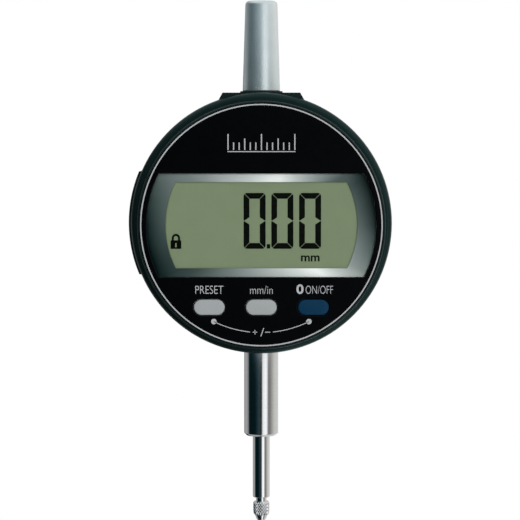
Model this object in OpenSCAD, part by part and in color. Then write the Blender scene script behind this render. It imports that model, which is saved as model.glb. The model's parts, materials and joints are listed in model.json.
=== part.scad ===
// Digital dial indicator with a turning display, a sliding spindle, three keys and a battery drawer.
// Frame: +Z runs up the spindle, the dial faces -Y, and the origin is on the stem's axis at the
// middle of its clamping length. Millimetres.

/* [Housing] */
// Outside diameter of the round housing
housing_d = 60; // [59.6:0.1:60.4]
// Thickness of the housing's side wall
wall = 2.4; // [2.2:0.1:2.6]
// Width of the flat shelf on top of the housing
shelf_w = 17.8; // [16:0.2:19]

/* [Stem and spindle] */
// Clamping diameter of the stem
stem_d = 8; // [8:0.01:8]
// Length of stem that stands out of the housing
stem_l = 20; // [18:0.5:22]
// Diameter of the spindle
spindle_d = 4; // [3.9:0.1:4]
// Measuring travel of the spindle
travel = 12.5; // [10:0.5:12.5]
// Spindle showing below the stem at rest
spindle_out = 14.7; // [13.5:0.1:16]
// Radial running clearance of the spindle in its bushes
run = 0.02; // [0.01:0.01:0.05]

/* [Cap] */
// Diameter of the cap at its foot
cap_foot_d = 8.7; // [8.4:0.1:9]
// Diameter of the cap at its top
cap_top_d = 7.4; // [7.2:0.1:7.8]
// Height of the cap
cap_h = 20.85; // [20.5:0.05:22]

/* [Display] */
// Diameter of the turning display head
head_d = 56; // [55.8:0.1:56.4]
// Radius of the arcs at the two ends of the window
window_r = 25.9; // [25.5:0.1:26]
// Half the height of the window
window_hh = 11.7; // [11.4:0.1:11.9]
// Radius of the arcs at the two ends of the readout
readout_r = 21.65; // [21:0.05:21.8]
// Half the height of the readout
readout_hh = 9.73; // [9.4:0.01:9.9]

/* [Keys] */
// Width of a key
key_w = 7.15; // [6.8:0.05:7.3]
// Height of a key
key_h = 3.68; // [3.4:0.02:3.8]
// Distance between neighbouring keys
key_pitch = 11.75; // [11.6:0.05:11.9]
// Depth of the keys' row below the dial's centre
key_drop = 18.47; // [18.3:0.01:18.6]
// Travel of a key
key_travel = 0.5; // [0.4:0.05:0.5]

/* [Battery drawer] */
// Height of the drawer's front
drawer_h = 23.8; // [23.6:0.1:24]
// How far the drawer's front stands proud of the housing
drawer_proud = 0.65; // [0.5:0.05:0.8]
// Diameter of the coin cell
cell_d = 20; // [20:0.1:20]
// Thickness of the coin cell
cell_t = 3.2; // [3.2:0.1:3.2]

/* [Hidden] */
$fn = 96;

housing_r = housing_d / 2;
cavity_r = housing_r - wall;
zc = housing_r + stem_l / 2;      // height of the dial's centre
stem_r = stem_d / 2;
spindle_r = spindle_d / 2;
bore_r = spindle_r + run;
gap = 0.05;                       // small assembly gap
eps = 0.01;                       // overshoot of a cutting shape

// Levels along Y, from the front of the display to the back cover
face_y = -18;
panel_back_y = face_y + 1.5;
lcd_front_y = -16.65;
lcd_back_y = -14.45;
board_front_y = -12.2;
board_back_y = -11;
head_back_front_y = -10.6;
head_back_y = -9.2;
front_y = -9;
front_wall_y = -7;
ring_front_y = -6.8;
ring_back_y = -5.9;
back_y = 7;
cover_y = 9;

// Levels along Z
stem_end_z = zc - housing_r - stem_l;
stem_relief_z = zc - housing_r - 0.05;   // the stem's full diameter ends just short of the housing
stem_relief_r = stem_r - 0.2;
stem_seat_z = zc - housing_r + 0.3;
spindle_end_z = stem_end_z - spindle_out;
shelf_z = zc + housing_r;
cap_foot_z = shelf_z + 0.45;
cap_top_z = cap_foot_z + cap_h;
carrier_low_z = zc - 20;
carrier_top_z = zc + 4;
bush_flange_z = zc + 22;
stem_block_z = zc - 22.5;
top_block_z = zc + 23;

// Display head
head_r = head_d / 2;
panel_r = head_r - 0.4;
shell_in_r = head_r - 1.5;
spigot_r = 19.95;
spigot_in_r = 17;
head_bore_r = 20;
ring_r = 21.9;
head_seal_r = 21.25;
stop_groove_r = 25.2;
head_screw_at = [[16, 19.1], [-16, 19.1], [19.1, -16], [-19.1, -16]];
key_x = [-key_pitch, 0, key_pitch];

// Screw positions on the housing
cover_screw_at = [for (sx = [-1, 1], sz = [-1, 1]) [17.5 * sx, 17.5 * sz]];
frame_screw_at = [for (sx = [-1, 1]) each [[4.9 * sx, -24.5], [4.9 * sx, 24.8]]];
board_screw_at = [for (sx = [-1, 1]) each [[5.6 * sx, -14], [5.6 * sx, 18]]];
guide_screw_at = [[-12.6, -21.1], [-12.6, 21.1]];

// Battery drawer
drawer_r = housing_r + drawer_proud;
drawer_face_in_r = 28.2;
drawer_depth = 10;
cell_x = -18.2;
tray_hh = 11.4;
tray_end_x = -7.3;
prong_end_x = -4.2;
tray_front_y = -1.55;
tray_back_y = 2.4;
guide_back_y = 2.75;

// ---------------------------------------------------------------- helpers

// Children are drawn as seen from the front, x to the right and y up; their +z points to the front.
module at_dial(y) translate([0, y, zc]) rotate([90, 0, 0]) children();

// A flat drawing made into a slab between two levels along Y
module slab(y_rear, y_front) at_dial(y_rear) linear_extrude(y_rear - y_front) children();

// A solid turned about the dial's axis from a profile of [radius, y]
module turned(profile) at_dial(0) rotate_extrude() polygon([for (p = profile) [p[0], -p[1]]]);

// A solid turned about the spindle's axis from a profile of [radius, z]
module around(profile) rotate_extrude() polygon(profile);

module rod_y(x, z, r, y_rear, y_front) translate([x, y_rear, zc + z]) rotate([90, 0, 0])
    cylinder(r = r, h = y_rear - y_front);

module ring_2d(r_out, r_in) difference() {
    circle(r_out);
    circle(r_in);
}

// A block between two x, two y and two z levels, with z counted from the dial's centre
module block(x0, x1, y0, y1, z0, z1) translate([x0, y0, zc + z0]) cube([x1 - x0, y1 - y0, z1 - z0]);

// A circle cut by two level lines: the outline of the window and of the readout
module lens_2d(r, hh) intersection() {
    circle(r);
    square([2 * r, 2 * hh], center = true);
}

module stadium_2d(w, h) {
    square([w - h, h], center = true);
    for (s = [-1, 1]) translate([s * (w - h) / 2, 0]) circle(d = h);
}

// A countersunk screw driven from the back, its head flush at y, and the hole that it fills
module screw_hole(x, z, y, head_r, shank_r, len) translate([x, y, zc + z]) rotate([90, 0, 0]) {
    cylinder(r1 = head_r, r2 = shank_r, h = head_r - shank_r);
    cylinder(r = shank_r, h = len);
}

module rear_screw(x, z, y, head_r, shank_r, len) difference() {
    screw_hole(x, z, y, head_r, shank_r, len);
    translate([x, y, zc + z]) for (a = [45, 135]) rotate([0, a, 0])
        cube([head_r * 1.2, head_r * 0.7, head_r * 0.28], center = true);
}

// A pan-head screw driven along +Y or -Y (dir), its head's seat at y
module pan_screw(x, z, y, head_r, head_h, shank_r, len, dir = 1) translate([x, y, zc + z])
    rotate([dir > 0 ? 90 : -90, 0, 0]) difference() {
        union() {
            translate([0, 0, -head_h]) cylinder(r = head_r, h = head_h);
            cylinder(r = shank_r, h = len);
        }
        translate([0, 0, -head_h]) cube([2 * head_r + 1, head_r * 0.3, head_h * 0.9], center = true);
    }

// ---------------------------------------------------------------- housing and what is fixed in it

edge_w = 1.15;                    // rounded front edge of the housing
edge_depth = 1.3;
edge_steps = 7;
housing_profile = concat(
    [[cavity_r, back_y], [housing_r, back_y]],
    [for (i = [0:edge_steps]) let (t = 90 * i / edge_steps)
        [housing_r - edge_w + edge_w * cos(t), front_y + edge_depth - edge_depth * sin(t)]],
    [[head_bore_r, front_y], [head_bore_r, front_wall_y], [cavity_r, front_wall_y]]);

module shelf_2d() polygon([[-shelf_w / 2, housing_r], [shelf_w / 2, housing_r],
    [shelf_w / 2 + 0.95, housing_r - 1.7], [shelf_w / 2 + 0.95, housing_r - 4],
    [-shelf_w / 2 - 0.95, housing_r - 4], [-shelf_w / 2 - 0.95, housing_r - 1.7]]);

// Shelf, the two blocks that hold stem and upper bush, and the posts for the cover's screws
module housing_solids() {
    turned(housing_profile);
    difference() {
        slab(back_y, front_y + 1.4) shelf_2d();
        turned([[0, back_y + 1], [cavity_r, back_y + 1], [cavity_r, front_wall_y - 1],
            [0, front_wall_y - 1]]);
    }
    intersection() {
        union() {
            block(-6.6, 6.6, -6, 3.2, -housing_r, -22.5);
            block(-6.6, 6.6, -6, 3.2, 23, housing_r);
            for (p = cover_screw_at) rod_y(p[0], p[1], 2.5, 5.6, front_wall_y - eps);
            for (p = guide_screw_at) rod_y(p[0], p[1], 1.9, guide_back_y, front_wall_y - eps);
        }
        slab(back_y, front_y) circle(housing_r - 0.5);
    }
}

module housing() color("#15181a") difference() {
    housing_solids();
    // stem seat and bore
    translate([0, 0, zc - housing_r - 1]) cylinder(r = stem_relief_r, h = 1.3);
    translate([0, 0, zc - housing_r - 1]) cylinder(r = 3.5, h = 12);
    // upper bush bore
    translate([0, 0, top_block_z - 1]) cylinder(r = 3, h = 10);
    // drawer opening through the left wall
    slab(drawer_depth / 2 + 0.1, -drawer_depth / 2 - 0.1)
        translate([-housing_r - 1, -drawer_h / 2 - 0.1]) square([6.5, drawer_h + 0.2]);
    // groove for the cover's seal
    slab(back_y + 1, back_y - 0.85) ring_2d(housing_r - 0.95, housing_r - 1.85);
    // groove that the display's stop pin runs in, three quarters of a turn
    at_dial(front_y + 1.2) rotate([0, 0, -2.4]) rotate_extrude(angle = 274.8)
        translate([stop_groove_r - 0.85, 0]) square([1.7, 2]);
    for (p = cover_screw_at) rod_y(p[0], p[1], 1, 6, -4);
    for (p = frame_screw_at) rod_y(p[0], p[1], 0.8, 4, -2.5);
    for (p = guide_screw_at) rod_y(p[0], p[1], 0.8, 3, -3);
}

cover_profile = concat(
    [[0, back_y], [26, back_y], [26, 5.6], [cavity_r - gap, 5.6], [cavity_r - gap, back_y],
        [housing_r, back_y]],
    [for (i = [0:5]) let (t = 90 * i / 5)
        [housing_r - 0.9 + 0.9 * cos(t), cover_y - 0.9 + 0.9 * sin(t)]],
    [[17, cover_y], [16.6, cover_y - 0.4], [0, cover_y - 0.4]]);

module back_cover() color("#1a1d1f") difference() {
    turned(cover_profile);
    // relief in the spigot round each screw post
    for (p = cover_screw_at) rod_y(p[0], p[1], 2.7, back_y, 5);
    for (p = cover_screw_at) screw_hole(p[0], p[1], cover_y, 1.9, 1, 8);
}

module back_cover_screws() color("#9aa0a4")
    for (p = cover_screw_at) rear_screw(p[0], p[1], cover_y, 1.9, 1, 9);

module back_seal() color("#222222")
    at_dial(back_y - 0.42) rotate_extrude() translate([housing_r - 1.4, 0]) circle(0.4);

module stem() color("#c9cccd") around([[2.7, stem_end_z], [stem_r - 0.55, stem_end_z],
    [stem_r, stem_end_z + 0.55], [stem_r, stem_relief_z], [stem_relief_r, stem_relief_z],
    [stem_relief_r, stem_seat_z], [3.5, stem_seat_z], [3.5, zc - 25], [2.7, zc - 25]]);

module guide_bush(z0, z1) color("#b08d4a") around([[bore_r, z0], [2.7, z0], [2.7, z1], [bore_r, z1]]);
module lower_bush() guide_bush(stem_end_z + 0.2, stem_end_z + 6.5);
module middle_bush() guide_bush(zc - 31, zc - 25);

module upper_bush() color("#b08d4a") around([[bore_r, bush_flange_z], [4.2, bush_flange_z],
    [4.2, top_block_z], [3, top_block_z], [3, cap_foot_z + 5.5], [bore_r, cap_foot_z + 5.5]]);

module cap_seal() color("#101214") around([[3 + gap, shelf_z], [4.95, shelf_z],
    [4.95, cap_foot_z - 0.15], [4.8, cap_foot_z], [3 + gap, cap_foot_z]]);

// Turned cap over the spindle's top end: threaded foot, clear bore above, rounded crown
cap_crown = 0.9;
function cap_r(z) = (cap_foot_d + (cap_top_d - cap_foot_d) * (z - cap_foot_z) / cap_h) / 2;
module spindle_cap() color("#c4c8ca") around(concat(
    [[3, cap_foot_z], [cap_r(cap_foot_z), cap_foot_z]],
    [for (i = [0:6]) let (t = 90 * i / 6)
        [cap_r(cap_top_z) - cap_crown + cap_crown * cos(t), cap_top_z - cap_crown + cap_crown * sin(t)]],
    [[0, cap_top_z], [0, cap_top_z - 1.6], [2.5, cap_top_z - 1.6], [2.5, cap_foot_z + 6.2],
        [3, cap_foot_z + 6.2]]));

// Chassis plate behind the spindle, with posts for the sensor board and a slot for the guide pin
frame_y = 3.2;
frame_back_y = 4.7;
sensor_back_y = -3.8;
sensor_front_y = -4.9;
pin_z = -10;
module frame() color("#8d9295") difference() {
    union() {
        block(-6.4, 6.4, frame_y, frame_back_y, -26.2, 26.2);
        for (p = board_screw_at) rod_y(p[0], p[1], 1.3, frame_y, sensor_back_y);
    }
    slab(frame_back_y + 1, frame_y - 1) union() {
        translate([-1.05, pin_z - 1.1]) square([2.1, travel + 2.2]);
        // notches that clear the stem, the buffer and the upper bush's flange
        translate([-3.2, -27]) square([6.4, 7]);
        translate([-2.9, bush_flange_z - zc - 0.2]) square([5.8, 5]);
    }
    for (p = frame_screw_at) rod_y(p[0], p[1], 0.85, frame_back_y + 1, frame_y - 1);
    for (p = board_screw_at) rod_y(p[0], p[1], 0.6, frame_y - 1, sensor_back_y - 1);
}

module frame_screws() color("#b4b8ba")
    for (p = frame_screw_at) pan_screw(p[0], p[1], frame_back_y, 1.45, 0.8, 0.8, 5.5);

module sensor_board() color("#1f6b3a") difference() {
    block(-7, 7, sensor_front_y, sensor_back_y, -16, 20);
    for (p = board_screw_at) rod_y(p[0], p[1], 0.65, sensor_back_y + 1, sensor_front_y - 1);
}

module sensor_board_screws() color("#b4b8ba")
    for (p = board_screw_at) pan_screw(p[0], p[1], sensor_front_y, 1.1, 0.5, 0.6, 4, dir = -1);

module sensor_chip() color("#232323") block(-2.2, 2.2, sensor_front_y - 0.6, sensor_front_y, 6, 12);

module stop_buffer() color("#2b2b2b")
    around([[spindle_r + 0.3, stem_block_z], [4.4, stem_block_z], [4.4, carrier_low_z - 0.1],
        [spindle_r + 0.3, carrier_low_z - 0.1]]);

// Compression spring round the spindle, between the carrier and the upper bush's flange
spring_wire_r = 0.2;
spring_r = 2.95;
spring_turns = 8;
spring_steps = 18;
spring_sides = 8;
spring_z0 = carrier_top_z + spring_wire_r + gap;
spring_z1 = bush_flange_z - spring_wire_r - gap;
function spring_point(u) = [spring_r * cos(360 * spring_turns * u), spring_r * sin(360 * spring_turns * u),
    spring_z0 + (spring_z1 - spring_z0) * u];
function spring_ring(u) = let (c = spring_point(u), a = 360 * spring_turns * u)
    [for (k = [0:spring_sides - 1]) let (b = 360 * k / spring_sides)
        c + spring_wire_r * [cos(b) * cos(a), cos(b) * sin(a), sin(b)]];
module return_spring() color("#a9adb0") {
    rings = spring_turns * spring_steps;
    points = [for (i = [0:rings]) each spring_ring(i / rings)];
    sides = [for (i = [0:rings - 1], k = [0:spring_sides - 1]) let (n = (k + 1) % spring_sides,
        a = i * spring_sides) [a + k, a + spring_sides + k, a + spring_sides + n, a + n]];
    ends = [[for (k = [0:spring_sides - 1]) k],
        [for (k = [spring_sides - 1:-1:0]) rings * spring_sides + k]];
    polyhedron(points, concat(sides, ends), convexity = 10);
}

// Ribbon from the sensor board forward into the middle of the display head
module flex_cable() color("#b5722a") union() {
    block(-2.5, 2.5, sensor_front_y - 0.2, sensor_front_y, -9, 0.2);
    block(-2.5, 2.5, -9.2, sensor_front_y, 0, 0.2);
}

// Channel that the battery drawer slides in
module battery_guide() color("#24282a") difference() {
    union() {
        block(-24.2, -8, guide_back_y, guide_back_y + 0.85, -12.6, 12.6);
        for (s = [-1, 1]) block(-24.2, -8, -2.8, guide_back_y + 0.85,
            s > 0 ? 11.55 : -12.6, s > 0 ? 12.6 : -11.55);
        for (p = guide_screw_at) rod_y(p[0], p[1], 1.9, guide_back_y + 0.85, guide_back_y);
        block(-14.3, -10.9, guide_back_y, guide_back_y + 0.85, -21.1, 21.1);
        for (s = [-1, 1]) block(-24.2, -8, -2.8, -1.85,
            s > 0 ? 10.5 : -12.6, s > 0 ? 12.6 : -10.5);
    }
    for (p = guide_screw_at) rod_y(p[0], p[1], 0.85, guide_back_y + 2, guide_back_y - 1);
    block(-20.2, -16.2, guide_back_y - 1, guide_back_y + 2, -1.2, 1.2);
}

module battery_guide_screws() color("#b4b8ba")
    for (p = guide_screw_at) pan_screw(p[0], p[1], guide_back_y + 0.85, 1.45, 0.7, 0.8, 5);

// Two leaf contacts: one behind the cell, through the guide's slot, and one in front of it
module battery_contact_plus() color("#c9b26a") union() {
    block(-20, -9, guide_back_y + 0.85, guide_back_y + 1.1, -1, 1);
    rod_y(cell_x, 0, 0.8, guide_back_y + 0.9, cell_t / 2 + gap);
}
module battery_contact_minus() color("#c9b26a") union() {
    block(-20, -9, -3.05, -2.8, -1, 1);
    block(-11, -9, -3.05, -2.8, -12.4, 1);
    rod_y(cell_x, 0, 0.8, -cell_t / 2 - gap, -2.9);
}

// ---------------------------------------------------------------- spindle and what rides on it

module spindle() color("#c4c8ca") around([[1.25, spindle_end_z], [spindle_r - 0.3, spindle_end_z],
    [spindle_r, spindle_end_z + 0.3], [spindle_r, zc + 33 - 0.3], [spindle_r - 0.3, zc + 33],
    [1.25, zc + 33], [1.25, zc + 28], [0, zc + 28], [0, spindle_end_z + 5], [1.25, spindle_end_z + 5]]);

// Contact point: threaded stud, short neck, knurled barrel and a tapered nose that holds the ball
ball_r = 1;
ball_z = spindle_end_z - 5.15;
module contact_point() color("#b9bdbf") difference() {
    around([[0, spindle_end_z + 4.5], [1.25, spindle_end_z + 4.5], [1.25, spindle_end_z - 1],
        [1.7, spindle_end_z - 1], [1.95, spindle_end_z - 1.3], [1.95, spindle_end_z - 4.2],
        [1.15, spindle_end_z - 5.1], [0, spindle_end_z - 5.1]]);
    translate([0, 0, ball_z]) sphere(ball_r);
}
module contact_ball() color("#dfe2e4") translate([0, 0, ball_z]) sphere(ball_r);

module scale_carrier() color("#9b9fa2") difference() {
    block(-3.6, 3.6, -3, 2.8, carrier_low_z - zc, carrier_top_z - zc);
    translate([0, 0, carrier_low_z - 1]) cylinder(r = spindle_r, h = 30);
    rod_y(0, pin_z, 1, 4, 1);
    for (z = [-16, -2]) translate([1, 0, zc + z]) rotate([0, 90, 0]) cylinder(r = 0.8, h = 4);
}
module scale_strip() color("#d8c48a") block(-3.2, 3.2, -3.5, -3, -19.5, 3.5);
module guide_pin() color("#c9cccd") rod_y(0, pin_z, 1, 5.1, spindle_r + 0.1);
module carrier_screws() color("#5a5d60") for (z = [-16, -2]) translate([2.1, 0, zc + z])
    rotate([0, 90, 0]) difference() {
        cylinder(r = 0.8, h = 1.5);
        translate([0, 0, 1.5]) cube([2, 0.25, 0.8], center = true);
    }

// ---------------------------------------------------------------- turning display head

module head_shell() color("#0e1012") difference() {
    union() {
        turned(concat([[shell_in_r, head_back_y], [head_r - 0.25, head_back_y],
            [head_r, head_back_y - 0.25]],
            [for (i = [0:4]) let (t = 90 * i / 4)
                [head_r - 0.35 + 0.35 * cos(t), face_y + 0.4 - 0.35 * sin(t)]],
            [[panel_r, face_y + 0.05], [panel_r, panel_back_y], [shell_in_r, panel_back_y]]));
        for (p = head_screw_at) rod_y(p[0], p[1], 2, board_front_y, panel_back_y);
    }
    for (p = head_screw_at) rod_y(p[0], p[1], 0.9, board_front_y + 1, -15.6);
}

module front_panel() color("#08090b") difference() {
    turned([[0, panel_back_y], [panel_r, panel_back_y], [panel_r, face_y + 0.12],
        [panel_r - 0.12, face_y], [0, face_y]]);
    slab(panel_back_y + 1, face_y - 1) lens_2d(window_r, window_hh);
    for (x = key_x) slab(panel_back_y + 1, face_y - 1)
        translate([x, -key_drop]) stadium_2d(key_w + 0.2, key_h + 0.2);
}

module window_lens() color("#dfe6e8") slab(face_y + 0.9, face_y) lens_2d(window_r, window_hh);

module window_frame() color("#b8bdc0") slab(face_y + 1.3, face_y + 0.9) difference() {
    lens_2d(window_r, window_hh);
    lens_2d(readout_r, readout_hh);
}

module lcd_glass() color("#768367") slab(lcd_back_y, lcd_front_y) square([44.8, 21.6], center = true);

module lcd_holder() color("#2b2f31") difference() {
    block(-23.2, 23.2, panel_back_y + gap, board_front_y, -12.4, 12.4);
    block(-22.45, 22.45, panel_back_y - 1, lcd_back_y, -10.85, 10.85);
    block(-20.3, 20.3, lcd_back_y - 1, board_front_y + 1, -10.7, 10.7);
}

module zebra_strips() color("#d98a9a")
    for (s = [-1, 1]) block(-20.2, 20.2, lcd_back_y, board_front_y, s * 9.65 - 0.9, s * 9.65 + 0.9);

module main_board() color("#1f6b3a") difference() {
    slab(board_back_y, board_front_y) circle(shell_in_r - 0.4);
    for (p = head_screw_at) rod_y(p[0], p[1], 0.95, board_back_y + 1, board_front_y - 1);
}
module processor_chip() color("#232323") block(-9, -1, board_back_y, board_back_y + 1, 2.5, 10.5);
module board_connector() color("#d9d4c4") difference() {
    block(-4, 4, board_back_y, board_back_y + 1.5, -1.6, 1.6);
    block(-2.7, 2.7, board_back_y + 1.2, board_back_y + 2, -0.2, 0.4);
}

// Switch bodies, each with a well that the key's stem presses into
module key_switches() color("#3a3d40") for (x = key_x) difference() {
    block(x - 2.1, x + 2.1, board_front_y - 1.2, board_front_y, -key_drop - 2.1, -key_drop + 2.1);
    rod_y(x, -key_drop, 1.05, board_front_y - 0.15, board_front_y - 2);
}

module head_back() color("#15181a") difference() {
    union() {
        slab(head_back_y, head_back_front_y) circle(shell_in_r - gap);
        slab(ring_front_y, head_back_y) circle(spigot_r);
        for (p = head_screw_at) rod_y(p[0], p[1], 1.5, head_back_front_y, board_back_y);
    }
    slab(0, -12) circle(15);
    slab(0, head_back_y) circle(spigot_in_r);
    slab(0, head_back_y - 0.8) ring_2d(head_seal_r + 0.5, head_seal_r - 0.5);
    for (p = head_screw_at) screw_hole(p[0], p[1], head_back_y, 1.7, 0.9, 6);
    for (a = [90, 210, 330]) rod_y(18.4 * cos(a), 18.4 * sin(a), 0.7, 0, head_back_y + 0.2);
    rod_y(-stop_groove_r, 0, 0.7, 0, head_back_front_y - 1);
}

module head_screws() color("#9aa0a4")
    for (p = head_screw_at) rear_screw(p[0], p[1], head_back_y, 1.7, 0.9, 6.3);

module retaining_ring() color("#8d9295") difference() {
    slab(ring_back_y, ring_front_y) ring_2d(ring_r, 15.5);
    for (a = [90, 210, 330]) screw_hole(18.4 * cos(a), 18.4 * sin(a), ring_back_y, 1.4, 0.7, 2);
}

module retaining_ring_screws() color("#b4b8ba")
    for (a = [90, 210, 330]) rear_screw(18.4 * cos(a), 18.4 * sin(a), ring_back_y, 1.4, 0.7, 3);

module head_seal() color("#222222")
    at_dial(front_y - 0.46) rotate_extrude() translate([head_seal_r, 0]) circle(0.44);

module stop_pin() color("#c9cccd")
    rod_y(-stop_groove_r, 0, 0.7, front_y + 0.9, head_back_front_y);

// A key: domed cap in the panel, flange behind it and a stem down to its switch
module key(x) {
    slab(panel_back_y - 0.1, face_y - 0.15) translate([x, -key_drop]) stadium_2d(key_w, key_h);
    slab(face_y - 0.15, face_y - 0.35) translate([x, -key_drop]) stadium_2d(key_w - 0.4, key_h - 0.4);
    slab(panel_back_y + 1, panel_back_y + 0.1)
        translate([x, -key_drop]) stadium_2d(key_w + 1.4, key_h + 1.4);
    slab(panel_back_y + 0.1, panel_back_y - 0.1)
        translate([x, -key_drop]) stadium_2d(key_w, key_h);
    rod_y(x, -key_drop, 0.95, board_front_y - 0.7, panel_back_y + 0.9);
}
module preset_key() color("#9c9fa0") key(key_x[0]);
module unit_key() color("#9c9fa0") key(key_x[1]);
module zero_key() color("#0a3552") key(key_x[2]);

// ---------------------------------------------------------------- battery drawer

module battery_drawer() color("#15181a") difference() {
    union() {
        slab(drawer_depth / 2, -drawer_depth / 2) intersection() {
            ring_2d(drawer_r, drawer_face_in_r);
            translate([-housing_r - 2, -drawer_h / 2]) square([10, drawer_h]);
        }
        slab(tray_back_y, tray_front_y) intersection() {
            circle(drawer_face_in_r + 0.4);
            translate([-housing_r, -tray_hh]) square([housing_r + tray_end_x, 2 * tray_hh]);
        }
        for (s = [-1, 1]) block(tray_end_x - 1, prong_end_x, tray_front_y, tray_back_y,
            s > 0 ? 8.6 : -tray_hh, s > 0 ? tray_hh : -8.6);
    }
    rod_y(cell_x, 0, cell_d / 2 + 0.05, cell_t / 2, tray_front_y - 1);
    rod_y(cell_x, 0, cell_d / 2 - 0.9, tray_back_y + 1, 0);
    // groove that the rear contact slides along as the drawer comes out
    block(cell_x, tray_end_x + 1, cell_t / 2, tray_back_y + 1, -1.1, 1.1);
    // fingernail groove in the drawer's front
    for (s = [-1, 1]) block(-drawer_r - 1, -drawer_r + 0.55, -2.6, -1.8, s * 6 - 2.6, s * 6 + 2.6);
}

// Coin cell: can, and the smaller cap at the front separated from it by the insulator ring
module coin_cell() color("#c9cccd") union() {
    rod_y(cell_x, 0, cell_d / 2, cell_t / 2, -cell_t / 2 + 0.7);
    rod_y(cell_x, 0, cell_d / 2 - 1.6, cell_t / 2, -cell_t / 2);
}
module cell_insulator() color("#3d3f41") translate([cell_x, -cell_t / 2 + 0.7, zc]) rotate([90, 0, 0])
    linear_extrude(0.3) ring_2d(cell_d / 2 - 0.9, cell_d / 2 - 1.6);

// ---------------------------------------------------------------- nodes

housing();
back_cover();
back_cover_screws();
back_seal();
stem();
lower_bush();
middle_bush();
upper_bush();
cap_seal();
spindle_cap();
frame();
frame_screws();
sensor_board();
sensor_board_screws();
sensor_chip();
stop_buffer();
return_spring();
flex_cable();
battery_guide();
battery_guide_screws();
battery_contact_plus();
battery_contact_minus();
spindle();
contact_point();
contact_ball();
scale_carrier();
scale_strip();
guide_pin();
carrier_screws();
head_shell();
front_panel();
window_lens();
window_frame();
lcd_glass();
lcd_holder();
zebra_strips();
main_board();
processor_chip();
board_connector();
key_switches();
head_back();
head_screws();
retaining_ring();
retaining_ring_screws();
head_seal();
stop_pin();
preset_key();
unit_key();
zero_key();
battery_drawer();
coin_cell();
cell_insulator();
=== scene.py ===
# %% [markdown]
# # A digital dial indicator
#
# A round black housing sits on a ground steel stem. A glossy display turns in front of it, a polished
# spindle slides through it, and a satin cap covers the spindle's upper end. The CAD frame already
# holds all of that to size. This file adds what a camera sees: finishes, rounded edges, the knurl,
# the printed marks and the readout's figures. Lengths are in millimetres.

# %% Load the frame
import json
import math

import bmesh
import bpy
import numpy as np
from mathutils import Matrix, Vector


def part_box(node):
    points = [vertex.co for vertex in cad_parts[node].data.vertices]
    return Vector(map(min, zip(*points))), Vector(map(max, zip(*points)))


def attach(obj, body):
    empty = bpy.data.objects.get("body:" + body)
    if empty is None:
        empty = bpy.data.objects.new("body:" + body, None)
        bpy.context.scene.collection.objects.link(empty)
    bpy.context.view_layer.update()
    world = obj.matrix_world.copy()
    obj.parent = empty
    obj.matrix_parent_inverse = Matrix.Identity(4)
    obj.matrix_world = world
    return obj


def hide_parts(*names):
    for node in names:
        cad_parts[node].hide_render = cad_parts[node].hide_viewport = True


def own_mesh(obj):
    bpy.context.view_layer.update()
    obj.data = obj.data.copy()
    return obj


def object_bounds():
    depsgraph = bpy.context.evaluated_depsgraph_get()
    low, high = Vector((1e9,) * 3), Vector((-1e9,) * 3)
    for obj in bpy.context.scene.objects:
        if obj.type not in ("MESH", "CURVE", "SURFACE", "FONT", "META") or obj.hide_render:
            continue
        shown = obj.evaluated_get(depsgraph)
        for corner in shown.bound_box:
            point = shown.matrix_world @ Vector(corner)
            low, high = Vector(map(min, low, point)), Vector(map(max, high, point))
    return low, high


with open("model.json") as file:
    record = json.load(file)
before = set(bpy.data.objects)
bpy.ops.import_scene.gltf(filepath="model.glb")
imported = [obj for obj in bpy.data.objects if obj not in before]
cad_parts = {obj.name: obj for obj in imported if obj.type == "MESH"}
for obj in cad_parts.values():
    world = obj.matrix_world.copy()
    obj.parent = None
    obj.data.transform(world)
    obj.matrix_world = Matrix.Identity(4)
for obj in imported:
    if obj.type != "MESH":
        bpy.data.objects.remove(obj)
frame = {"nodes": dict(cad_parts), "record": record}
cad_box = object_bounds()
MM = 0.001

# %% [markdown]
# ## Reading sizes off the frame
#
# A new piece must sit exactly where its CAD node sits. A typed place would go stale as soon as the
# CAD changes. Asking the frame for each node's box keeps both in step.


# %% Sizes in millimetres
def span(node):
    """The node's lowest and highest corner in millimetres, as two arrays of x, y, z."""
    low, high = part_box(node)
    return np.array(low) / MM, np.array(high) / MM


panel_low, panel_high = span("front_panel")
dial_z = (panel_low[2] + panel_high[2]) / 2
face_y = panel_low[1]
panel_back_y = panel_high[1]
panel_r = (panel_high[0] - panel_low[0]) / 2
stem_low, stem_high = span("stem")
stem_r = stem_high[0]
spindle_low, spindle_high = span("spindle")
spindle_r = spindle_high[0]
cap_low, cap_high = span("spindle_cap")
print(f"dial centre {dial_z:.2f} mm up, panel radius {panel_r:.2f} mm, stem radius {stem_r:.2f} mm")

# %% [markdown]
# ## Camera
#
# A measuring tool is shown from straight ahead with a long lens, so that its circles stay round.
# The lens is worked out from how many millimetres the picture should hold at the camera's distance.

# %% Place the camera
camera_distance = 500.0
camera_rise = math.radians(3.5)
picture_width = 121.5
sensor_width = 36.0
aim = np.array([-0.32, 0.0, dial_z - 8.88])
camera_data = bpy.data.cameras.new("camera")
camera_data.sensor_width = sensor_width
camera_data.lens = sensor_width * camera_distance / picture_width
camera = bpy.data.objects.new("camera", camera_data)
back = np.array([0.0, -math.cos(camera_rise), math.sin(camera_rise)])
camera.location = (aim + camera_distance * back) * MM
camera.rotation_euler = (math.pi / 2 - camera_rise, 0.0, 0.0)
camera_data.clip_start = 0.01
bpy.context.scene.collection.objects.link(camera)
bpy.context.scene.camera = camera
print(f"lens {camera_data.lens:.1f} mm")

# %% [markdown]
# ## Light
#
# Polished metal shows nothing but its surroundings: the streaks on a steel stem are soft boxes and
# black cards round the table. The room could be built from many planes. Here the world's own shader
# paints it, in two bands of brightness by compass direction. The low band is what the stem and the
# display mirror: a bright strip just right of the camera and black on its left. The tapered cap
# looks up a little and sees the high band, which is softer. The camera itself sees plain white.


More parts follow.
